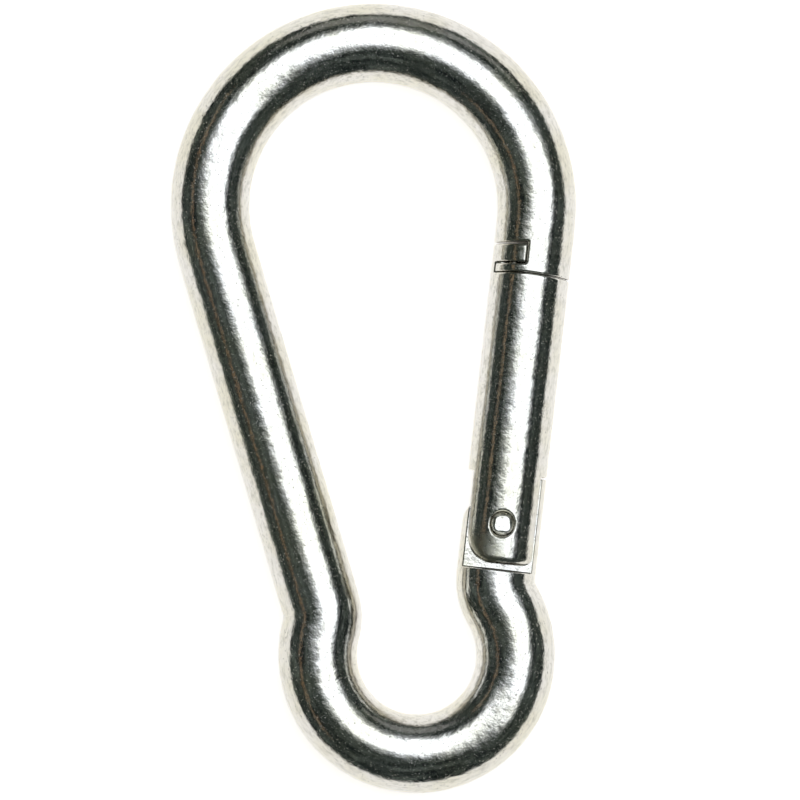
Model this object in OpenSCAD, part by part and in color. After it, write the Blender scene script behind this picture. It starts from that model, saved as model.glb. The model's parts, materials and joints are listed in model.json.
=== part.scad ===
// Spring hook bent from round stainless wire, with a sprung gate that opens inwards.
// The hook lies flat: its outline is in XY, the big bow is towards +Y and the gate is on the +X side.

/* [Wire and outline] */
// Diameter of the round wire, and of the gate that continues it
wire_d = 8; // [7.8:0.1:8.2]
// Length of the whole hook
hook_len = 80; // [78:0.5:84]
// Radius of the big bow, to the middle of the wire
bow_r = 16.5; // [16:0.25:17.5]
// Radius of the small eye, to the middle of the wire
eye_r = 10; // [9.5:0.25:10.5]
// Lean of the plain leg against the length of the hook, in degrees
spine_lean = 11; // [10:0.5:12]
// Lean of the closed gate against the length of the hook, in degrees
gate_lean = 12; // [11:0.5:13]
// Radius of the two bends above the eye, to the middle of the wire
bend_r = 4.6; // [4.4:0.1:5]

/* [Hinge] */
// Height of the pivot above the centre of the eye
pivot_rise = 12.4; // [12.2:0.1:13]
// Thickness of the flat tongue that the gate straddles
tongue_t = 3.8; // [3.2:0.1:4]
// Gap between each flat of the tongue and the gate
tongue_gap = 0.1; // [0.05:0.05:0.2]
// Distance from the pivot to the flat top of the tongue
tongue_top = 2.2; // [2:0.1:2.4]
// Distance from the pivot down to the shoulders of the tongue
shoulder_drop = 4.7; // [4.6:0.05:4.8]
// Distance from the pivot down to the hinge end of the gate
gate_tail = 4.05; // [3.8:0.05:4.2]
// Distance from the pivot up to the root of the slot in the gate
slot_rise = 5; // [4.8:0.1:6]
// Diameter of the rivet that the gate turns on
rivet_d = 2.4; // [2:0.1:2.6]
// Gap all round the rivet in the tongue
rivet_play = 0.05; // [0.02:0.01:0.08]
// Largest opening of the gate, in degrees
open_max = 45; // [30:1:46]

/* [Latch] */
// Distance from the pivot to the seam between the gate and the nose
seam_r = 25.4; // [24:0.1:26]
// Gap between the gate and the nose all round the latch
latch_gap = 0.15; // [0.1:0.05:0.3]
// Thickness of the two ears that catch the head, along the gate
ear_t = 0.85; // [0.75:0.05:1.2]
// Length of the head, along the gate
head_t = 1.8; // [1.5:0.1:2.2]
// Thickness of the neck under the head
neck_t = 3; // [2.4:0.1:3.4]
// Distance from the middle of the gate to the floor of the notch
notch_floor = 0.6; // [0.4:0.1:1.2]
// Slope of the far wall of the notch, in degrees
notch_slope = 8; // [6:1:16]

/* [Spring and plunger] */
// Diameter of the bore in the gate
bore_d = 3.8; // [3.6:0.05:3.9]
// Depth of the bore, measured from the pivot
bore_top = 18.9; // [18.9:0.1:20]
// Gap all round the plunger in the bore
plunger_play = 0.05; // [0.02:0.01:0.08]
// Length of the thick part of the plunger
plunger_len = 6.5; // [6:0.1:6.5]
// Diameter of the spring's wire
spring_wire_d = 0.75; // [0.5:0.05:0.75]
// Turns of the spring, closed end turns included
spring_turns = 10; // [8:1:10]

/* [Hidden] */
$fn = 96;

wire_r = wire_d / 2;
past = 1;                      // how far a cutting shape runs past what it cuts
steel = [0.78, 0.78, 0.76];
pin_steel = [0.86, 0.86, 0.85];
spring_steel = [0.55, 0.56, 0.58];

// Outline: two circles joined by two legs, each with a bend just above the eye
bow_c = [0, hook_len / 2 - wire_r - bow_r];
eye_c = [0, -(hook_len / 2 - wire_r - eye_r)];
centre_dist = bow_c.y - eye_c.y;

// For a leg with the given lean, measured along the leg and square to it
function bend_out(lean) = bow_r + bend_r - centre_dist * sin(lean);
function bend_up(lean) = sqrt(pow(eye_r + bend_r, 2) - pow(bend_out(lean), 2));
function leg_len(lean) = centre_dist * cos(lean) - bend_up(lean);
function bend_c(lean) = eye_c + bend_out(lean) * [cos(lean), -sin(lean)] + bend_up(lean) * [sin(lean), cos(lean)];
function bend_dir(lean) = atan2(bend_c(lean).y - eye_c.y, bend_c(lean).x - eye_c.x);

// Pivot, on the middle line of the gate leg
pivot_down = (centre_dist - pivot_rise - bow_r * sin(gate_lean)) / cos(gate_lean);
heel_len = leg_len(gate_lean) - pivot_down;

// Cam on the tongue: the plunger's flat face rises evenly as the gate turns
cam_rate = 1.55;               // rise of the plunger for each radian of the gate
cam_step = 5;
cam_end = open_max + cam_step;
tongue_corner = 0.2;           // height of the tongue's inner corner above the pivot
horn_gap = 0.15;               // gap between the tongue's outer horn and the root of the slot
horn_top = slot_rise - horn_gap;
horn_side = bore_d / 2 + horn_gap;
plunger_d = bore_d - 2 * plunger_play;
plunger_seat = 0.03;           // gap between the plunger and the tongue
plunger_foot = tongue_top + plunger_seat;
plunger_edge = 0.2;
spigot_len = 2;
spigot_play = 0.15;

// Latch, as distances from the pivot
ear_top = seam_r + ear_t;
head_foot = ear_top + latch_gap;
head_top = head_foot + head_t;
gate_end = seam_r - latch_gap;
head_side = notch_floor + latch_gap / 2;
tail_r = gate_tail + 0.15;     // arc of the gate's inner corner, about the pivot
swing_gap = 0.12;              // least gap between the head and the notch as the gate swings
notch_mouth = sqrt(pow(head_top + swing_gap, 2) - pow(wire_r, 2));

// Spring, closed at both ends, between the plunger and the end of the bore
spring_play = 0.1;             // gap all round the spring in the bore
spring_seat = 0.02;            // gap at each end of the spring
coil_gap = 0.02;               // gap between the closed turns
spring_mean_r = (bore_d - spring_wire_d) / 2 - spring_play;
spring_foot = plunger_foot + plunger_len + spring_seat;
spring_len = bore_top - spring_foot - spring_seat;
end_pitch = spring_wire_d + coil_gap;
mid_pitch = (spring_len - spring_wire_d - 2 * end_pitch) / (spring_turns - 2);
spring_steps = 20;             // rings in each turn
spring_sides = 8;

rivet_drop = 0.12;             // how far each end of the rivet lies below the gate's face
rivet_len = wire_d - 2 * rivet_drop;
rivet_edge = 0.2;
sink_r = 1.45;                 // countersink round each end of the rivet
sink_depth = 0.45;
tail_edge = 0.5;               // bevel round the hinge end of the gate

// Cutting depth that clears the wire on both faces
cut_t = wire_d + 2 * past;

// Where two stretches of the wire meet, one is a hair thinner and ends just inside the other
lap = 0.1;
lap_step = 0.05;
leg_d = wire_d - lap_step;
bend_d = leg_d - lap_step;
bow_lap = lap / bow_r * 180 / PI;
eye_lap = lap / eye_r * 180 / PI;

function cam_rise(a) = tongue_top + cam_rate * a * PI / 180;
function cam_point(a) = [-cam_rise(a) * sin(a) - cam_rate * cos(a), cam_rise(a) * cos(a) - cam_rate * sin(a)];
function coil_rise(t) = end_pitch * min(t, 1)
    + mid_pitch * max(0, min(t, spring_turns - 1) - 1)
    + end_pitch * max(0, t - spring_turns + 1);

// Origin at the top of a leg, where it leaves the bow: -Y runs down the leg, +X points out of the hook
module on_leg(lean) {
    translate([bow_c.x, bow_c.y, wire_r])
        rotate(-lean)
            translate([bow_r, 0, 0])
                children();
}

// Origin at the pivot: +Y runs up the closed gate, +X points out of the hook
module at_pivot() {
    on_leg(gate_lean)
        translate([0, -pivot_down, 0])
            children();
}

module round_bar(from, to) {
    translate([0, from, 0])
        rotate([-90, 0, 0])
            cylinder(h = to - from, d = leg_d);
}

module wire_arc(centre, radius, from, to, d) {
    translate([centre.x, centre.y, wire_r])
        rotate(from)
            rotate_extrude(angle = to - from)
                translate([radius, 0])
                    circle(d = d);
}

module bow() {
    wire_arc(bow_c, bow_r, -gate_lean - bow_lap, 180 + spine_lean + bow_lap, wire_d);
}

module eye() {
    from = 180 - bend_dir(spine_lean) - eye_lap;
    to = 360 + bend_dir(gate_lean) + eye_lap;
    wire_arc(eye_c, eye_r, from, to, wire_d);
}

// The plain leg and both bends are drawn on the +X side
module spine() {
    on_leg(spine_lean)
        round_bar(-leg_len(spine_lean) - lap, 0);
}

module bend(lean) {
    wire_arc(bend_c(lean), bend_r, 180 - lean, 180 + bend_dir(lean), bend_d);
}

module heel() {
    round_bar(-heel_len - lap, -shoulder_drop);
}

// Seen from above: a horn on the outer side, the seat of the plunger, and the cam towards the inner side
module tongue_outline() {
    cam = [for (a = [0 : cam_step : cam_end]) cam_point(a)];
    inner_top = [-wire_r, tongue_corner];
    slope = inner_top - cam[len(cam) - 1];
    polygon(concat(
        [[wire_r + past, -shoulder_drop - lap], [wire_r + past, horn_top]],
        [[horn_side, horn_top], [horn_side, tongue_top]],
        cam,
        [inner_top + slope * past / -slope.x, [-wire_r - past, -shoulder_drop - lap]]
    ));
}

// Round wire flattened on both faces, drilled for the rivet
module tongue() {
    difference() {
        intersection() {
            round_bar(-shoulder_drop - lap, horn_top + past);
            linear_extrude(tongue_t, center = true)
                tongue_outline();
        }
        cylinder(h = cut_t, d = rivet_d + 2 * rivet_play, center = true);
    }
}

// The far wall slopes, so that the notch is longest at its floor
module notch_outline() {
    difference() {
        polygon([
            [-notch_floor, seam_r],
            [-notch_floor, notch_mouth + (wire_r - notch_floor) * tan(notch_slope)],
            [-wire_r - past, notch_mouth - past * tan(notch_slope)],
            [-wire_r - past, seam_r]
        ]);
        circle(ear_top);
    }
}

// End of the bow that the gate closes against, with a T-shaped notch open to the inside
module nose() {
    difference() {
        round_bar(seam_r - past, pivot_down);
        cylinder(h = cut_t, r = seam_r, center = true);
        linear_extrude(cut_t, center = true)
            notch_outline();
        translate([-wire_r - past, seam_r - past, -neck_t / 2 - tongue_gap])
            cube([wire_r + past - notch_floor, ear_t + 2 * past, neck_t + 2 * tongue_gap]);
    }
}

module hook_body() {
    color(steel) {
        bow();
        eye();
        bend(gate_lean);
        mirror([1, 0, 0]) {
            spine();
            bend(spine_lean);
        }
        at_pivot() {
            heel();
            tongue();
            nose();
        }
    }
}

// Round bar with a bevelled hinge end
module gate_bar() {
    rotate([-90, 0, 0])
        rotate_extrude()
            polygon([
                [0, -gate_tail],
                [wire_r - tail_edge, -gate_tail],
                [wire_r, -gate_tail + tail_edge],
                [wire_r, head_top + past],
                [0, head_top + past]
            ]);
}

// The inner corner of the hinge end is an arc about the pivot, so that it clears the shoulders
module gate_outline() {
    intersection() {
        circle(gate_end);
        union() {
            translate([0, -gate_tail])
                square([wire_r + past, gate_end + gate_tail]);
            translate([-wire_r - past, 0])
                square([wire_r + past, gate_end]);
            circle(tail_r);
        }
    }
}

module head_outline() {
    intersection() {
        difference() {
            circle(head_top);
            circle(head_foot);
        }
        translate([-wire_r - past, 0])
            square([wire_r + past - head_side, head_top]);
    }
}

module neck_outline() {
    intersection() {
        difference() {
            circle(head_foot + past / 2);
            circle(gate_end - past / 2);
        }
        translate([-wire_r - past, 0])
            square([wire_r + past - head_side, head_top]);
    }
}

module gate() {
    color(steel)
        at_pivot()
            difference() {
                intersection() {
                    gate_bar();
                    union() {
                        linear_extrude(cut_t, center = true)
                            gate_outline();
                        linear_extrude(cut_t, center = true)
                            head_outline();
                        linear_extrude(neck_t, center = true)
                            neck_outline();
                    }
                }
                translate([-wire_r - past, -gate_tail - past, -tongue_t / 2 - tongue_gap])
                    cube([cut_t, slot_rise + gate_tail + past, tongue_t + 2 * tongue_gap]);
                translate([0, slot_rise - past, 0])
                    rotate([-90, 0, 0])
                        cylinder(h = bore_top - slot_rise + past, d = bore_d);
                cylinder(h = cut_t, d = rivet_d, center = true);
                for (side = [0, 180])
                    rotate([side, 0, 0])
                        translate([0, 0, wire_r - sink_depth])
                            cylinder(h = 2 * sink_depth, r1 = rivet_d / 2, r2 = 2 * sink_r - rivet_d / 2);
            }
}

module pivot_rivet() {
    color(pin_steel)
        at_pivot()
            rotate_extrude()
                polygon([
                    [0, -rivet_len / 2],
                    [rivet_d / 2 - rivet_edge, -rivet_len / 2],
                    [rivet_d / 2, -rivet_len / 2 + rivet_edge],
                    [rivet_d / 2, rivet_len / 2 - rivet_edge],
                    [rivet_d / 2 - rivet_edge, rivet_len / 2],
                    [0, rivet_len / 2]
                ]);
}

module gate_spring() {
    rings = spring_turns * spring_steps + 1;
    points = [
        for (i = [0 : rings - 1], j = [0 : spring_sides - 1])
            let (
                turn = i / spring_steps,
                side = j * 360 / spring_sides,
                r = spring_mean_r + spring_wire_d / 2 * cos(side)
            )
            [r * cos(360 * turn), r * sin(360 * turn), coil_rise(turn) + spring_wire_d / 2 * (1 + sin(side))]
    ];
    walls = [
        for (i = [0 : rings - 2], j = [0 : spring_sides - 1])
            let (k = (j + 1) % spring_sides, a = i * spring_sides, b = a + spring_sides)
            [a + j, b + j, b + k, a + k]
    ];
    foot = [for (j = [0 : spring_sides - 1]) j];
    top = [for (j = [spring_sides - 1 : -1 : 0]) (rings - 1) * spring_sides + j];
    color(spring_steel)
        at_pivot()
            translate([0, spring_foot, 0])
                rotate([-90, 0, 0])
                    polyhedron(points, concat(walls, [foot, top]));
}

// Flat-faced pin that rides on the tongue, with a spigot inside the spring
module plunger() {
    spigot_r = spring_mean_r - spring_wire_d / 2 - spigot_play;
    color(pin_steel)
        at_pivot()
            translate([0, plunger_foot, 0])
                rotate([-90, 0, 0])
                    rotate_extrude()
                        polygon([
                            [0, 0],
                            [plunger_d / 2 - plunger_edge, 0],
                            [plunger_d / 2, plunger_edge],
                            [plunger_d / 2, plunger_len],
                            [spigot_r, plunger_len],
                            [spigot_r, plunger_len + spigot_len],
                            [0, plunger_len + spigot_len]
                        ]);
}

hook_body();
gate();
pivot_rivet();
gate_spring();
plunger();
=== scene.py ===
"""Looks of a spring snap hook of polished round wire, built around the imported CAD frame.

Every piece is worked out in millimetres in the hinge's own axes and then placed in the row frame in metres:
v points out of the hook, u runs up the closed gate from the pivot, and z is the height above the middle of the wire.
The steel pieces are level sets of distance fields, so that their edges are truly rounded.
"""

import json
import math

import bpy
import numpy as np
from mathutils import Matrix, Vector


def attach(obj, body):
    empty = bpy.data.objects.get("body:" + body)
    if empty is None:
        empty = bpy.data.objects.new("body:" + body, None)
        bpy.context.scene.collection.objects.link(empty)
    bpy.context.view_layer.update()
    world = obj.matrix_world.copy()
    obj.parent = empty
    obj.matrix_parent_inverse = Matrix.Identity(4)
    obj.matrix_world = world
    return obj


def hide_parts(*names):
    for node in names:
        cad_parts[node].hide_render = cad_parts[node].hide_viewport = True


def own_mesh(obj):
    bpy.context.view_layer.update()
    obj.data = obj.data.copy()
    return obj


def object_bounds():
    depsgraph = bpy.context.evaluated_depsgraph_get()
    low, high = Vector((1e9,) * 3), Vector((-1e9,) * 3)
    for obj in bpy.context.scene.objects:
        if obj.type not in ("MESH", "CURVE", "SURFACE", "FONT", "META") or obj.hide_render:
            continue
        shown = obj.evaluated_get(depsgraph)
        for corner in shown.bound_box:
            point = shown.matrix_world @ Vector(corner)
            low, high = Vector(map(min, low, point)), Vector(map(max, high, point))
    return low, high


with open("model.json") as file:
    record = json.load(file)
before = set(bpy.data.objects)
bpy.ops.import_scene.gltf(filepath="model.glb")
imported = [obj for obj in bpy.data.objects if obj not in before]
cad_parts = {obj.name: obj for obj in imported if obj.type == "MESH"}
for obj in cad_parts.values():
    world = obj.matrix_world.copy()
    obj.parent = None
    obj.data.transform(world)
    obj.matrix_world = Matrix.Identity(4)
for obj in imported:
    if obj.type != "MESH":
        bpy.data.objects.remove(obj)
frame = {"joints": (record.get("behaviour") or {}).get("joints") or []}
cad_low, cad_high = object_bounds()

MM = 0.001

# Outline of the hook: radii to the middle of the wire, and the lean of the plain leg
BOW_R = 16.5
EYE_R = 10.0
BEND_R = 4.6
SPINE_LEAN = math.radians(11)

# Hinge, as distances from the pivot
TONGUE_T = 3.8
SLOT_T = 4.0
SLOT_RISE = 5.0
SHOULDER_DROP = 4.7
GATE_TAIL = 4.05
TAIL_R = 4.2
RIVET_R = 1.2
RIVET_HOLE_R = 1.25
RIVET_LEN = 7.76
SINK_R = 1.45
SINK_DEPTH = 0.45

# Cam on top of the tongue: height of the plunger's face at rest, and its rise for each radian of the gate
CAM_REST = 2.2
CAM_RATE = 1.55
CAM_END = math.radians(50)
CAM_STEP = math.radians(2)

# Straight slope from the cam down to the tongue's inner edge: its turn, and how far its line is from the pivot
SLOPE_TURN = math.radians(72.5)
SLOPE_DIST = 3.876

# Horn on the outer side of the tongue, which fills the slot up to its root
HORN_TOP = 4.85
HORN_SIDE = 2.05

# Latch, as distances from the pivot up the gate, and to the side from the middle of the wire
SEAM_R = 25.4
GATE_END = 25.33
EAR_TOP = 26.25
HEAD_FOOT = 26.4
HEAD_TOP = 28.2
NECK_T = 3.0
NECK_SLOT_T = 3.2
NOTCH_FLOOR = 0.6
HEAD_SIDE = 0.675
NOTCH_MOUTH = 28.04
NOTCH_SLOPE = math.radians(8)

# Bore, spring and plunger
BORE_R = 1.9
BORE_TOP = 18.9
PLUNGER_FOOT = 2.23
PLUNGER_R = 1.85
PLUNGER_LEN = 6.5
SPIGOT_R = 0.9
SPIGOT_LEN = 2.0
SPRING_MEAN_R = 1.425
SPRING_WIRE_R = 0.375
SPRING_TURNS = 10
SPRING_PLAY = 0.02
SPRING_FOOT = PLUNGER_FOOT + PLUNGER_LEN + SPRING_PLAY
SPRING_LEN = BORE_TOP - SPRING_FOOT - SPRING_PLAY
CLOSED_PITCH = 2 * SPRING_WIRE_R * 1.03

# Edge roundings
TAIL_EDGE = 0.85
SEAM_EDGE = 0.22
HEAD_EDGE = 0.12
TONGUE_EDGE = 0.18
FLAT_EDGE = 0.1
FILLET = 0.15
HOLE_EDGE = 0.1

# Grid steps of the level sets: across the wire, along it at the worked ends, in the bends, and along plain stretches
CELL = 0.135
END_STEP = 0.11
BEND_STEP = 0.35
PLAIN_STEP = 0.8

# How far the grids reach past the steel
PAST_SKIN = 0.2
PAST_END = 0.3

# Rounds in which the points of a level set are moved onto the surface, and the least slope that is trusted there
FIT_ROUNDS = 4
LEAST_SLOPE = 0.5

# Steps round each rounded corner of a turned profile
CORNER_STEPS = 6

joints = {j["name"]: j for j in frame["joints"]}
PIVOT = np.array(joints["gate_hinge"]["pos_m"]) / MM
ALONG = np.array(joints["plunger_slide"]["axis"])
OUT = np.array([ALONG[1], -ALONG[0], 0.0])
UP = np.array([0.0, 0.0, 1.0])

WIRE_R = (cad_high.z - cad_low.z) / MM / 2
GATE_LEAN = math.atan2(ALONG[0], ALONG[1])
CENTRE_DIST = (cad_high.y - cad_low.y) / MM - 2 * WIRE_R - BOW_R - EYE_R
BOW_CENTRE = np.array([0.0, cad_high.y / MM - WIRE_R - BOW_R, PIVOT[2]])
NOSE_START = BOW_CENTRE + BOW_R * OUT
PIVOT_DOWN = float((NOSE_START - PIVOT) @ ALONG)


# ---------------------------------------------------------------- distance fields

def round_and(radius, *fields):
    """What lies in every field, with its edges rounded to radius."""
    joined = fields[0]
    for other in fields[1:]:
        corner = np.hypot(np.maximum(joined + radius, 0), np.maximum(other + radius, 0))
        joined = np.minimum(-radius, np.maximum(joined, other)) + corner
    return joined


def round_or(radius, *fields):
    """What lies in any field, with its inner corners filled to radius."""
    joined = fields[0]
    for other in fields[1:]:
        corner = np.hypot(np.maximum(radius - joined, 0), np.maximum(radius - other, 0))
        joined = np.maximum(radius, np.minimum(joined, other)) - corner
    return joined


def leg(lean):
    """Length of a leg from the bow to its bend, the bend's angle, and the bend's direction from the eye's centre."""
    out = BOW_R + BEND_R - CENTRE_DIST * math.sin(lean)
    up = math.sqrt((EYE_R + BEND_R) ** 2 - out ** 2)
    turn = math.atan2(up, out)
    return CENTRE_DIST * math.cos(lean) - up, turn, turn - lean


def wire_route():
    """Stretches of the wire from the bow's gate side round to the pivot: length, and left turn for each millimetre."""
    spine_len, spine_turn, spine_dir = leg(SPINE_LEAN)
    gate_len, gate_turn, gate_dir = leg(GATE_LEAN)
    return [
        (BOW_R * (math.pi + GATE_LEAN + SPINE_LEAN), 1 / BOW_R),
        (spine_len, 0.0),
        (BEND_R * spine_turn, -1 / BEND_R),
        (EYE_R * (math.pi + spine_dir + gate_dir), 1 / EYE_R),
        (BEND_R * gate_turn, -1 / BEND_R),
        (gate_len - PIVOT_DOWN, 0.0),
    ]


ROUTE = wire_route()
ROUTE_LEN = sum(length for length, _ in ROUTE)


def tongue_field(v, u, z):
    """The flat tongue. Its cam is what the plunger's flat face leaves free as the gate turns."""
    cam = u - CAM_REST
    for angle in np.arange(0, CAM_END, CAM_STEP):
        cam = np.maximum(cam, u * math.cos(angle) - v * math.sin(angle) - CAM_REST - CAM_RATE * angle)
    slope = u * math.cos(SLOPE_TURN) - v * math.sin(SLOPE_TURN) - SLOPE_DIST
    horn = round_and(TONGUE_EDGE, HORN_SIDE - v, u - HORN_TOP)
    outline = round_or(FILLET, round_and(TONGUE_EDGE, cam, slope), horn)
    hole = np.hypot(v, u) - RIVET_HOLE_R
    return round_and(TONGUE_EDGE, np.abs(z) - TONGUE_T / 2, outline, -hole)


def notch_field(v, u, z):
    """The T-shaped notch in the nose: room for the head, and the slot for its neck."""
    radius = np.hypot(v, u)
    floor = v + NOTCH_FLOOR
    far_wall = (u - NOTCH_MOUTH) * math.cos(NOTCH_SLOPE) - (v + WIRE_R) * math.sin(NOTCH_SLOPE)
    room = round_and(FILLET, floor, EAR_TOP - radius, far_wall)
    neck_slot = round_and(HOLE_EDGE, floor, np.abs(z) - NECK_SLOT_T / 2)
    return round_or(HOLE_EDGE, room, np.maximum(neck_slot, radius - EAR_TOP - FILLET))


def body_field(v, s, z):
    """The bent wire, unrolled: s is the length along it, from 0 where the bow starts on the gate side."""
    wire = np.hypot(v, z) - WIRE_R
    nose_u = s + PIVOT_DOWN
    nose = round_and(SEAM_EDGE, SEAM_R - np.hypot(v, nose_u), -notch_field(v, nose_u, z))
    heel_u = s - ROUTE_LEN
    # The tongue goes on inside the round wire, so that the two are one
    tongue = np.maximum(tongue_field(v, heel_u, z), -heel_u - 2 * SHOULDER_DROP)
    heel = round_or(FILLET, heel_u + SHOULDER_DROP, tongue)
    return round_and(SEAM_EDGE, round_and(FLAT_EDGE, wire, heel), nose)


def rivet_hole_field(v, u, z):
    """The rivet's hole, countersunk on both faces."""
    radius = np.hypot(v, u)
    slope = math.atan2(SINK_R - RIVET_R, SINK_DEPTH)
    depth = np.abs(z) - (WIRE_R - SINK_DEPTH)
    sink = (radius - RIVET_R) * math.cos(slope) - depth * math.sin(slope)
    return round_or(HOLE_EDGE, radius - RIVET_R, sink)


def gate_field(v, u, z):
    """The gate: a round bar, forked at the hinge, bored for the spring, with a T-shaped head."""
    bar = np.hypot(v, z) - WIRE_R
    radius = np.hypot(v, u)
    # Round on the inner side of the tail, and fading out above the pivot
    inner_corner = np.hypot(v, np.minimum(u, 0)) - TAIL_R - np.maximum(u, 0) / 2
    tail = np.maximum(-u - GATE_TAIL, np.where(v < 0, inner_corner, -u - GATE_TAIL))
    neck = round_and(HOLE_EDGE, v + HEAD_SIDE, np.abs(z) - NECK_T / 2, radius - HEAD_FOOT - HEAD_EDGE)
    head = round_and(HEAD_EDGE, v + HEAD_SIDE, HEAD_FOOT - radius, radius - HEAD_TOP)
    top = round_or(HOLE_EDGE, radius - GATE_END, neck, head)
    slot = round_and(FILLET, np.abs(z) - SLOT_T / 2, u - SLOT_RISE)
    bore = round_and(FILLET, np.hypot(v, z) - BORE_R, u - BORE_TOP)
    solid = round_and(SEAM_EDGE, round_and(TAIL_EDGE, bar, tail), top, -slot, -bore)
    return round_and(HOLE_EDGE, solid, -rivet_hole_field(v, u, z))


def slope_of(field, points):
    """Slope of a field at each point."""
    reach = 0.002
    slopes = np.empty_like(points)
    for axis in range(3):
        shift = np.zeros(3)
        shift[axis] = reach
        ahead, behind = field(*(points + shift).T), field(*(points - shift).T)
        slopes[:, axis] = (ahead - behind) / (2 * reach)
    return slopes


# ---------------------------------------------------------------- meshes

def stations(*stretches):
    """Grid lines along one axis, from stretches of (start, end, step) that follow each other."""
    lines = [stretches[0][0]]
    for start, end, step in stretches:
        count = max(1, round((end - start) / step))
        lines.extend(np.linspace(start, end, count + 1)[1:])
    return np.array(lines)


CORNERS = [(i, j, k) for i in (0, 1) for j in (0, 1) for k in (0, 1)]


def level_set(field, lines):
    """Points, normals and four-sided faces of the surface where field is zero. Each grid cell that it crosses has
    one point."""
    values = field(*np.meshgrid(*lines, indexing="ij", sparse=True))
    inside = values < 0
    cells = [n - 1 for n in values.shape]

    def corner(grid, offset):
        return grid[tuple(slice(o, o + n) for o, n in zip(offset, cells))]

    count = sum(corner(inside, c).astype(np.int8) for c in CORNERS)
    crossed = (count > 0) & (count < 8)
    number = np.full(cells, -1)
    number[crossed] = np.arange(crossed.sum())
    cell = np.argwhere(crossed)
    low = np.stack([lines[a][cell[:, a]] for a in range(3)], 1)
    size = np.stack([lines[a][cell[:, a] + 1] for a in range(3)], 1) - low

    total, hits = np.zeros_like(low), np.zeros(len(low))
    for first in CORNERS:
        for axis in range(3):
            if first[axis]:
                continue
            second = tuple(1 if a == axis else first[a] for a in range(3))
            here, there = corner(values, first)[crossed], corner(values, second)[crossed]
            cut = (here < 0) != (there < 0)
            share = np.where(cut, here / np.where(cut, here - there, 1), 0)
            point = np.tile(np.array(first, float), (len(low), 1))
            point[:, axis] = share
            total += point * cut[:, None]
            hits += cut
    points = low + size * total / hits[:, None]
    reach = size.min(axis=1, keepdims=True)
    for _ in range(FIT_ROUNDS):
        slope = slope_of(field, points)
        step = field(*points.T)[:, None] * slope / np.maximum((slope ** 2).sum(1, keepdims=True), LEAST_SLOPE ** 2)
        points -= np.clip(step, -reach, reach)
    normals = slope_of(field, points)
    normals /= np.linalg.norm(normals, axis=1, keepdims=True)

    faces = []
    for axis in range(3):
        b, c = (axis + 1) % 3, (axis + 2) % 3
        span = [slice(1, -1)] * 3
        span[axis] = slice(0, -1)
        ahead = list(span)
        ahead[axis] = slice(1, None)
        start, end = inside[tuple(span)], inside[tuple(ahead)]
        edges = np.argwhere(start != end)
        outward = start[tuple(edges.T)]
        edges[:, b] += 1
        edges[:, c] += 1
        ring = []
        for step_b, step_c in ((1, 1), (0, 1), (0, 0), (1, 0)):
            near = edges.copy()
            near[:, b] -= step_b
            near[:, c] -= step_c
            ring.append(number[tuple(near.T)])
        quads = np.stack(ring, 1)
        quads[~outward] = quads[~outward][:, ::-1]
        faces.append(quads)
    return points, normals, np.concatenate(faces)


def way(walked, turn, heading):
    """Way in the hook's plane from the start of a stretch to each length walked along it."""
    if not turn:
        return np.multiply.outer(walked, [math.cos(heading), math.sin(heading)])
    angle = heading + turn * walked
    return np.stack([np.sin(angle) - math.sin(heading), math.cos(heading) - np.cos(angle)], -1) / turn


def unrolled_to_frame(points, normals):
    """Bends the unrolled wire along its route: (v, s, z) in, row frame out, in millimetres."""
    s = points[:, 1]
    centre, heading = NOSE_START.copy(), math.pi / 2 - GATE_LEAN
    origin = centre + np.outer(np.minimum(s, 0), ALONG)
    angle = np.full(len(s), heading)
    start = 0.0
    for i, (length, turn) in enumerate(ROUTE):
        here = s > start
        walked = s[here] - start
        # The last stretch runs on straight into the tongue
        if i < len(ROUTE) - 1:
            walked = np.minimum(walked, length)
        angle[here] = heading + turn * walked
        origin[here, :2] = centre[:2] + way(walked, turn, heading)
        centre[:2] += way(length, turn, heading)
        heading += turn * length
        start += length
    zero = np.zeros(len(s))
    ahead = np.stack([np.cos(angle), np.sin(angle), zero], 1)
    right = np.stack([np.sin(angle), -np.cos(angle), zero], 1)

    def turned(vectors):
        return vectors[:, :1] * right + vectors[:, 1:2] * ahead + vectors[:, 2:] * UP

    flat = points * np.array([1, 0, 1])
    return origin + turned(flat), turned(normals)


def hinge_to_frame(points, normals):
    """Places (v, u, z) from the pivot in the row frame, in millimetres."""
    axes = np.stack([OUT, ALONG, UP])
    return PIVOT + points @ axes, normals @ axes


def add_piece(name, points, faces, normals, grain):
    """A mesh object in metres. grain is the place of each point in the straight bar that the piece was made of."""
    mesh = bpy.data.meshes.new(name)
    mesh.from_pydata((points * MM).tolist(), [], [list(map(int, f)) for f in faces])
    mesh.validate()
    mesh.shade_smooth()
    if normals is not None:
        mesh.normals_split_custom_set_from_vertices(normals.tolist())
    attribute = mesh.attributes.new("grain", "FLOAT_VECTOR", "POINT")
    attribute.data.foreach_set("vector", (grain * MM).astype(np.float32).ravel())
    piece = bpy.data.objects.new(name, mesh)
    bpy.context.scene.collection.objects.link(piece)
    return piece


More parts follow.
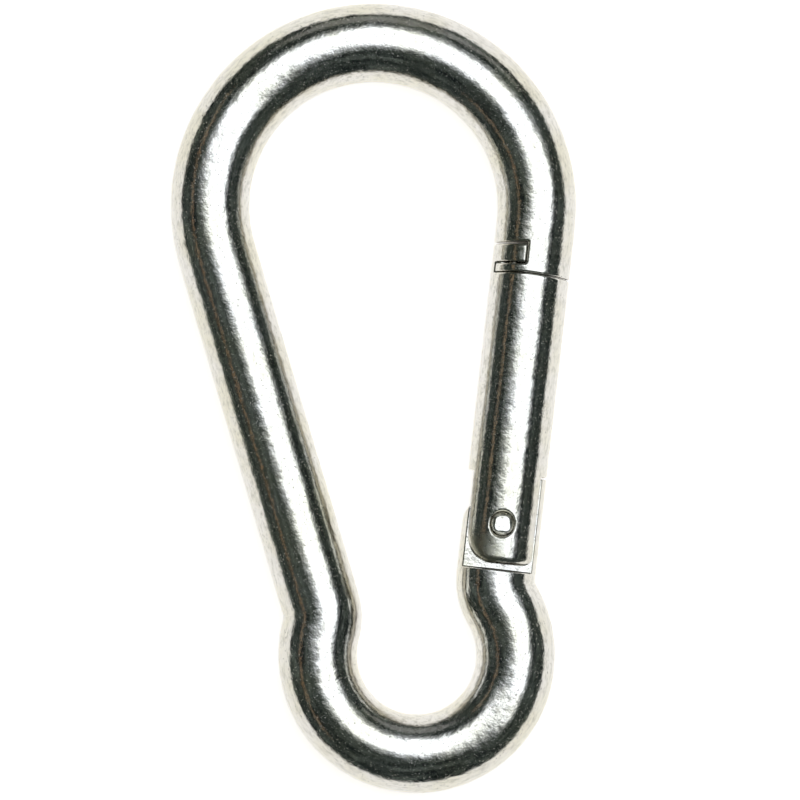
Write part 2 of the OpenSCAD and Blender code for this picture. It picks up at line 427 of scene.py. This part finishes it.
def hook_body():
    across = stations((-WIRE_R - PAST_SKIN, WIRE_R + PAST_SKIN, CELL))
    mark = np.cumsum([0.0] + [length for length, _ in ROUTE])
    nose = SEAM_R - PIVOT_DOWN
    # Fine at the nose and at the tongue, less so in the bends, and coarse where the wire only runs on
    along = stations(
        (nose - 0.25, -0.6, END_STEP),
        (-0.6, 1.5, 0.3),
        (1.5, mark[2] - 2, PLAIN_STEP),
        (mark[2] - 2, mark[3] + 1, BEND_STEP),
        (mark[3] + 1, mark[4] - 1, PLAIN_STEP),
        (mark[4] - 1, mark[5], BEND_STEP),
        (mark[5], mark[6] + HORN_TOP + PAST_END, END_STEP),
    )
    points, normals, faces = level_set(body_field, [across, along, across])
    grain = points + WIRE_R * UP
    points, normals = unrolled_to_frame(points, normals)
    return add_piece("polished_hook_body", points, faces, normals, grain)


def gate():
    across = stations((-WIRE_R - PAST_SKIN, WIRE_R + PAST_SKIN, CELL))
    # Fine at the fork and at the head, and coarse where the bar only runs on, except at the end of the bore
    along = stations(
        (-GATE_TAIL - PAST_END, SLOT_RISE + 1, END_STEP),
        (SLOT_RISE + 1, BORE_TOP - 0.5, PLAIN_STEP),
        (BORE_TOP - 0.5, BORE_TOP + 0.5, 0.2),
        (BORE_TOP + 0.5, GATE_END - 0.8, PLAIN_STEP),
        (GATE_END - 0.8, HEAD_TOP + PAST_END, END_STEP),
    )
    points, normals, faces = level_set(gate_field, [across, along, across])
    grain = points + WIRE_R * UP
    points, normals = hinge_to_frame(points, normals)
    return add_piece("polished_gate", points, faces, normals, grain)


def rounded_profile(corners):
    """Outline for turning, with its corners rounded: corners are (radius from the axis, height, rounding)."""
    outline = []
    for i, (r, h, rounding) in enumerate(corners):
        here = Vector((r, h))
        if rounding == 0 or i in (0, len(corners) - 1):
            outline.append(here)
            continue
        back = (Vector(corners[i - 1][:2]) - here).normalized()
        ahead = (Vector(corners[i + 1][:2]) - here).normalized()
        for step in range(CORNER_STEPS + 1):
            t = step / CORNER_STEPS
            outline.append(here + rounding * ((1 - t) ** 2 * back + t ** 2 * ahead))
    return outline


def turned_piece(name, corners, centre, axis, sides=96):
    """A piece turned on a lathe: its profile spun about an axis through centre, all in millimetres."""
    profile = rounded_profile(corners)
    turn = np.arange(sides) * 2 * math.pi / sides
    first = np.cross(axis, UP if abs(axis[2]) < 0.5 else OUT)
    second = np.cross(axis, first)
    ring = np.outer(np.cos(turn), first) + np.outer(np.sin(turn), second)
    points = np.concatenate([centre + p.y * np.array(axis) + p.x * ring for p in profile[1:-1]])
    ends = np.array([centre + p.y * np.array(axis) for p in (profile[0], profile[-1])])
    rows = len(profile) - 2
    faces = []
    for row in range(rows - 1):
        for i in range(sides):
            a, b = row * sides + i, row * sides + (i + 1) % sides
            faces.append((a, a + sides, b + sides, b))
    for i in range(sides):
        j = (i + 1) % sides
        faces.append((rows * sides, i, j))
        faces.append((rows * sides + 1, (rows - 1) * sides + j, (rows - 1) * sides + i))
    points = np.concatenate([points, ends])
    return add_piece(name, points, faces, None, points - centre)


def rivet():
    """Shank with both ends peened over: a flat disc with a rounded edge that rolls into the countersink."""
    half, flat = RIVET_LEN / 2, RIVET_R - 0.3
    side, shoulder = RIVET_R - 0.02, RIVET_LEN / 2 - 0.25
    corners = [
        (0, half, 0),
        (flat, half, 0.08),
        (side, shoulder, 0.2),
        (side, -shoulder, 0.2),
        (flat, -half, 0.08),
        (0, -half, 0),
    ]
    piece = turned_piece("peened_rivet", corners, PIVOT, UP)
    # The hammer has left both ends a little uneven, smaller and sunk to one side
    for vertex in piece.data.vertices:
        v, u, z = vertex.co / MM - Vector(PIVOT)
        angle = math.atan2(u, v)
        beaten = max(0.0, (abs(z) - half + 0.4) / 0.4)
        squeeze = 1 - beaten * (0.10 + 0.07 * math.cos(4 * angle + 0.6) + 0.05 * math.cos(3 * angle - 1.0))
        sag = 0.06 * beaten * (v + 0.4 * u) / RIVET_R
        place = Vector((v * squeeze, u * squeeze, z + math.copysign(sag - 0.05 * beaten, z)))
        vertex.co = (place + Vector(PIVOT)) * MM
    return piece


def plunger():
    top = PLUNGER_FOOT + PLUNGER_LEN
    corners = [
        (0, PLUNGER_FOOT, 0),
        (PLUNGER_R, PLUNGER_FOOT, 0.25),
        (PLUNGER_R, top, 0.15),
        (SPIGOT_R, top, 0.1),
        (SPIGOT_R, top + SPIGOT_LEN, 0.2),
        (0, top + SPIGOT_LEN, 0),
    ]
    return turned_piece("spring_plunger", corners[::-1], PIVOT, ALONG)


def coil_rise(turn, pitch):
    """Height of the coil's middle line after turn turns: the first and last turns are closed."""
    closed_turns = np.minimum(turn, 1) + np.maximum(turn - SPRING_TURNS + 1, 0)
    open_turns = np.clip(turn - 1, 0, SPRING_TURNS - 2)
    return CLOSED_PITCH * closed_turns + pitch * open_turns


def spring():
    """Coil of round wire between the plunger's shoulder and the end of the bore."""
    steps, sides = 36, 14
    pitch = (SPRING_LEN - 2 * SPRING_WIRE_R - 2 * CLOSED_PITCH) / (SPRING_TURNS - 2)
    turn = np.arange(SPRING_TURNS * steps + 1) / steps
    angle = 2 * math.pi * turn
    radial = np.outer(np.cos(angle), OUT) + np.outer(np.sin(angle), UP)
    middle = PIVOT + SPRING_MEAN_R * radial
    middle = middle + np.outer(SPRING_FOOT + SPRING_WIRE_R + coil_rise(turn, pitch), ALONG)
    side = np.arange(sides) * 2 * math.pi / sides
    ring = (np.cos(side)[None, :, None] * radial[:, None, :] + np.sin(side)[None, :, None] * ALONG) * SPRING_WIRE_R
    points = (middle[:, None, :] + ring).reshape(-1, 3)
    faces = []
    for row in range(len(turn) - 1):
        for i in range(sides):
            a, b = row * sides + i, row * sides + (i + 1) % sides
            faces.append((a, b, b + sides, a + sides))
    faces.append(tuple(reversed(range(sides))))
    faces.append(tuple(range(len(points) - sides, len(points))))
    return add_piece("coil_spring", points, faces, None, points - PIVOT)


# ---------------------------------------------------------------- materials

def polished_steel(name, tint, roughness, waviness, marks, rubbed_and_painted_reflection=None):
    """Polished stainless steel: slight waves, fine scuffs, small pits, and a faint cast of colour. waviness is how
    uneven the metal is, and marks how deep its scuffs and pits are. The last argument is the middle and the reach,
    in millimetres, of a place where wear has made it dull; there its colour is also painted darker and olive, a
    painted smoky reflection."""
    material = bpy.data.materials.new(name)
    material.use_nodes = True
    nodes, links = material.node_tree.nodes, material.node_tree.links
    shader = nodes["Principled BSDF"]
    shader.inputs["Metallic"].default_value = 1.0
    place = nodes.new("ShaderNodeTexCoord").outputs["Object"]
    grain = nodes.new("ShaderNodeAttribute")
    grain.attribute_name = "grain"

    def shade(*shares):
        return tuple(part * share for part, share in zip(tint, shares))

    def noise(vector, scale, detail=3.0, rough=0.55):
        node = nodes.new("ShaderNodeTexNoise")
        node.inputs["Scale"].default_value = scale
        node.inputs["Detail"].default_value = detail
        node.inputs["Roughness"].default_value = rough
        links.new(vector, node.inputs["Vector"])
        return node.outputs["Fac"]

    def stretched(vector, factors):
        node = nodes.new("ShaderNodeMapping")
        node.inputs["Scale"].default_value = factors
        links.new(vector, node.inputs["Vector"])
        return node.outputs["Vector"]

    def ramp(value, low, high, to_low, to_high):
        node = nodes.new("ShaderNodeMapRange")
        for socket, number in zip(node.inputs[1:5], (low, high, to_low, to_high)):
            socket.default_value = number
        links.new(value, node.inputs["Value"])
        return node.outputs["Result"]

    def maths(kind, a, b):
        node = nodes.new("ShaderNodeMath")
        node.operation = kind
        for socket, value in zip(node.inputs, (a, b)):
            if isinstance(value, (int, float)):
                socket.default_value = value
            else:
                links.new(value, socket)
        return node.outputs["Value"]

    def bump(height, distance, normal=None):
        node = nodes.new("ShaderNodeBump")
        node.inputs["Strength"].default_value = 1.0
        node.inputs["Distance"].default_value = distance
        links.new(height, node.inputs["Height"])
        if normal is not None:
            links.new(normal, node.inputs["Normal"])
        return node.outputs["Normal"]

    per_mm = 1 / MM
    along_grain = grain.outputs["Vector"]
    waves = noise(place, 0.25 * per_mm, 2.0)
    ripples = noise(along_grain, 1.1 * per_mm, 4.0, 0.6)
    scuffs = noise(stretched(along_grain, (0.85, 1.0, 0.85)), 2.2 * per_mm, 3.0, 0.6)
    fine_marks = noise(along_grain, 5.0 * per_mm, 2.0, 0.6)
    pits = ramp(fine_marks, 0.66, 0.74, 0.0, 1.0)
    mottle = noise(stretched(along_grain, (1.0, 0.45, 1.0)), 2.4 * per_mm, 5.0, 0.7)

    normal = bump(waves, waviness * 0.07 * MM)
    normal = bump(ripples, waviness * 0.036 * MM, normal)
    normal = bump(scuffs, marks * 0.010 * MM, normal)
    normal = bump(maths("MULTIPLY", pits, -1.0), marks * 0.010 * MM, normal)
    links.new(normal, shader.inputs["Normal"])

    def blend(share, first, second):
        node = nodes.new("ShaderNodeMix")
        node.data_type = "RGBA"
        links.new(share, node.inputs["Factor"])
        for socket, colour in zip((node.inputs["A"], node.inputs["B"]), (first, second)):
            if isinstance(colour, tuple):
                socket.default_value = (*colour, 1)
            else:
                links.new(colour, socket)
        return node.outputs["Result"]

    patches = noise(place, 0.16 * per_mm, 3.0)
    olive, stain, dirt = shade(0.96, 0.95, 0.86), shade(0.50, 0.49, 0.42), shade(0.40, 0.37, 0.31)
    colour = blend(ramp(patches, 0.42, 0.62, 0.0, 1.0), tint, olive)
    colour = blend(ramp(mottle, 0.48, 0.66, 0.0, 0.5), colour, stain)
    colour = blend(pits, colour, dirt)

    dull = maths("ADD", ramp(ripples, 0.3, 0.75, -0.03, 0.05), ramp(scuffs, 0.3, 0.8, -0.02, 0.05))
    # Place of wear: rougher, and its colour painted darker and olive as a painted smoky reflection
    if rubbed_and_painted_reflection is not None:
        middle, reach = rubbed_and_painted_reflection
        away = nodes.new("ShaderNodeVectorMath")
        away.operation = "DISTANCE"
        away.inputs[1].default_value = middle * MM
        links.new(place, away.inputs[0])
        wear_and_painted_reflection = ramp(away.outputs["Value"], 0.45 * reach * MM, reach * MM, 1.0, 0.0)
        wear_and_painted_reflection = maths("MULTIPLY", wear_and_painted_reflection, ramp(ripples, 0.3, 0.6, 0.4, 1.0))
        colour = blend(wear_and_painted_reflection, colour, shade(0.66, 0.66, 0.55))
        dull = maths("ADD", dull, maths("MULTIPLY", wear_and_painted_reflection, 0.22))
    links.new(colour, shader.inputs["Base Color"])
    links.new(maths("ADD", dull, roughness), shader.inputs["Roughness"])
    return material


def dress(piece, material):
    piece.data.materials.clear()
    piece.data.materials.append(material)


# ---------------------------------------------------------------- stage

# The hook leans a little to the left in the picture
PICTURE_LEAN = math.radians(5.5)
PICTURE_RIGHT = Vector((math.cos(PICTURE_LEAN), -math.sin(PICTURE_LEAN), 0))
PICTURE_UP = Vector((math.sin(PICTURE_LEAN), math.cos(PICTURE_LEAN), 0))
FIELD = 80.8 * MM
AIM = (0.78 * MM, -0.23 * MM)

SOFTBOX_TURN = -33
DAYLIGHT = (0.95, 1.0, 1.07)
ORANGE = (1.0, 0.62, 0.36)


def camera():
    """Straight above the hook, through a long lens. FIELD is how wide the picture is at the middle of the wire."""
    data = bpy.data.cameras.new("camera")
    data.lens = 300
    data.sensor_width = 36
    aim = Vector((*AIM, (cad_low.z + cad_high.z) / 2))
    obj = bpy.data.objects.new("camera", data)
    bpy.context.scene.collection.objects.link(obj)
    obj.location = aim + Vector((0, 0, FIELD * data.lens / data.sensor_width))
    obj.rotation_euler = Matrix((PICTURE_RIGHT, PICTURE_UP, Vector((0, 0, 1)))).transposed().to_euler()
    data.clip_start = 0.01
    bpy.context.scene.camera = obj


def lamp(name, height, side, top, size, turn, radiance, colour=(1, 1, 1)):
    """A rectangular lamp that hangs level over the hook. Its place and size are shares of its height: side to the
    picture's right and top to the picture's top. turn is in degrees, and radiance is how bright the lamp looks."""
    width, depth = size[0] * height, size[1] * height
    data = bpy.data.lights.new(name, "AREA")
    data.shape = "RECTANGLE"
    data.size, data.size_y = width, depth
    data.energy = radiance * math.pi * width * depth
    data.color = colour
    obj = bpy.data.objects.new(name, data)
    bpy.context.scene.collection.objects.link(obj)
    obj.location = height * (side * PICTURE_RIGHT + top * PICTURE_UP + Vector((0, 0, 1)))
    obj.rotation_euler = (0, 0, math.radians(turn) - PICTURE_LEAN)
    obj.visible_camera = False


def room(seen, darkest, lightest):
    """Surroundings: pale where the camera looks past the floor. The steel mirrors a dark room full of odds and ends,
    between darkest and lightest."""
    world = bpy.data.worlds.new("room")
    bpy.context.scene.world = world
    world.use_nodes = True
    nodes, links = world.node_tree.nodes, world.node_tree.links
    clutter = nodes.new("ShaderNodeTexNoise")
    clutter.inputs["Scale"].default_value = 9.0
    clutter.inputs["Detail"].default_value = 3.0
    links.new(nodes.new("ShaderNodeTexCoord").outputs["Generated"], clutter.inputs["Vector"])
    shades = nodes.new("ShaderNodeValToRGB")
    shades.color_ramp.elements[0].position = 0.44
    shades.color_ramp.elements[0].color = (*darkest, 1)
    shades.color_ramp.elements[1].position = 0.66
    shades.color_ramp.elements[1].color = (*lightest, 1)
    links.new(clutter.outputs["Fac"], shades.inputs["Fac"])
    links.new(shades.outputs["Color"], nodes["Background"].inputs["Color"])
    pale = nodes.new("ShaderNodeBackground")
    pale.inputs["Color"].default_value = (*seen, 1)
    mix = nodes.new("ShaderNodeMixShader")
    links.new(nodes.new("ShaderNodeLightPath").outputs["Is Camera Ray"], mix.inputs["Fac"])
    links.new(nodes["Background"].outputs["Background"], mix.inputs[1])
    links.new(pale.outputs["Background"], mix.inputs[2])
    links.new(mix.outputs["Shader"], nodes["World Output"].inputs["Surface"])


def pale_floor():
    """White board with a light of its own, as on a light table, so that shadows stay faint. Its glow is dimmed close
    under the wire, a painted contact shadow, so that no light comes up through the gaps of the latch."""
    material = bpy.data.materials.new("pale_floor")
    material.use_nodes = True
    nodes, links = material.node_tree.nodes, material.node_tree.links
    shader = nodes["Principled BSDF"]
    shader.inputs["Base Color"].default_value = (0.80, 0.79, 0.77, 1)
    shader.inputs["Roughness"].default_value = 0.9
    shader.inputs["Specular IOR Level"].default_value = 0.1
    shader.inputs["Emission Color"].default_value = (1.0, 0.965, 0.925, 1)
    # Painted shadow: the floor's glow fades where ambient occlusion finds the wire close above it
    painted_shadow_openness = nodes.new("ShaderNodeAmbientOcclusion")
    painted_shadow_openness.samples = 8
    painted_shadow_openness.inputs["Distance"].default_value = 1.5 * MM
    glow_less_painted_shadow = nodes.new("ShaderNodeMapRange")
    for socket, number in zip(glow_less_painted_shadow.inputs[1:5], (0.25, 0.85, 0.0, 0.80)):
        socket.default_value = number
    links.new(painted_shadow_openness.outputs["AO"], glow_less_painted_shadow.inputs["Value"])
    links.new(glow_less_painted_shadow.outputs["Result"], shader.inputs["Emission Strength"])
    return material


def floor():
    half = 1.2
    z = cad_low.z
    mesh = bpy.data.meshes.new("floor")
    mesh.from_pydata([(-half, -half, z), (half, -half, z), (half, half, z), (-half, half, z)], [], [(0, 1, 2, 3)])
    obj = bpy.data.objects.new("floor", mesh)
    bpy.context.scene.collection.objects.link(obj)
    dress(obj, pale_floor())


# ---------------------------------------------------------------- build

camera()
floor()
room(seen=(0.95, 0.95, 0.95), darkest=(0.004, 0.008, 0.009), lightest=(0.15, 0.18, 0.163))
lamp("main_softbox", 0.7, 0.27, 0.27, (1.3, 0.86), SOFTBOX_TURN, 1.25, DAYLIGHT)
lamp("wide_softbox", 0.71, 0.28, 0.285, (1.45, 1.05), SOFTBOX_TURN, 0.55, DAYLIGHT)
lamp("outer_softbox", 0.72, 0.34, 0.38, (1.8, 1.5), SOFTBOX_TURN, 0.3, DAYLIGHT)
lamp("far_lamp", 0.3, 0.6, 3.9, (4.0, 4.0), 0, 0.22)
lamp("warm_strip", 0.42, -1.33, -0.1, (0.14, 2.4), 0, 0.36, ORANGE)

wire_tint = (0.64, 0.625, 0.59)
gate_tail = PIVOT - 2.0 * OUT - 3.2 * ALONG + WIRE_R * UP
body_steel = polished_steel("polished_steel", wire_tint, 0.11, 1.0, 1.4)
# The gate's steel has a dull place near its tail, with a painted smoky reflection in its colour
gate_steel = polished_steel("rubbed_steel_painted_reflection", wire_tint, 0.11, 1.0, 1.4, (gate_tail, 3.6))
rivet_steel = polished_steel("peened_steel", (0.74, 0.73, 0.71), 0.24, 1.4, 1.2)
spring_steel = polished_steel("spring_steel", (0.52, 0.53, 0.55), 0.34, 0.6, 1.0)
plunger_steel = polished_steel("turned_steel", (0.64, 0.64, 0.63), 0.3, 0.5, 1.0)

hook_piece = hook_body()
gate_piece = gate()
rivet_piece = rivet()
plunger_piece = plunger()
spring_piece = spring()

for piece, node, body_name, slot, material in (
    (hook_piece, "hook_body", "hook_body", "body_steel", body_steel),
    (gate_piece, "gate", "gate", "gate_steel", gate_steel),
    (rivet_piece, "pivot_rivet", "gate", "rivet_steel", rivet_steel),
    (spring_piece, "gate_spring", "gate", "spring_steel", spring_steel),
    (plunger_piece, "plunger", "plunger", "plunger_steel", plunger_steel),
):
    dress(piece, material)
    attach(piece, body_name)
    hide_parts(node)

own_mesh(spring_piece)

bpy.context.scene.view_settings.view_transform = "Standard"
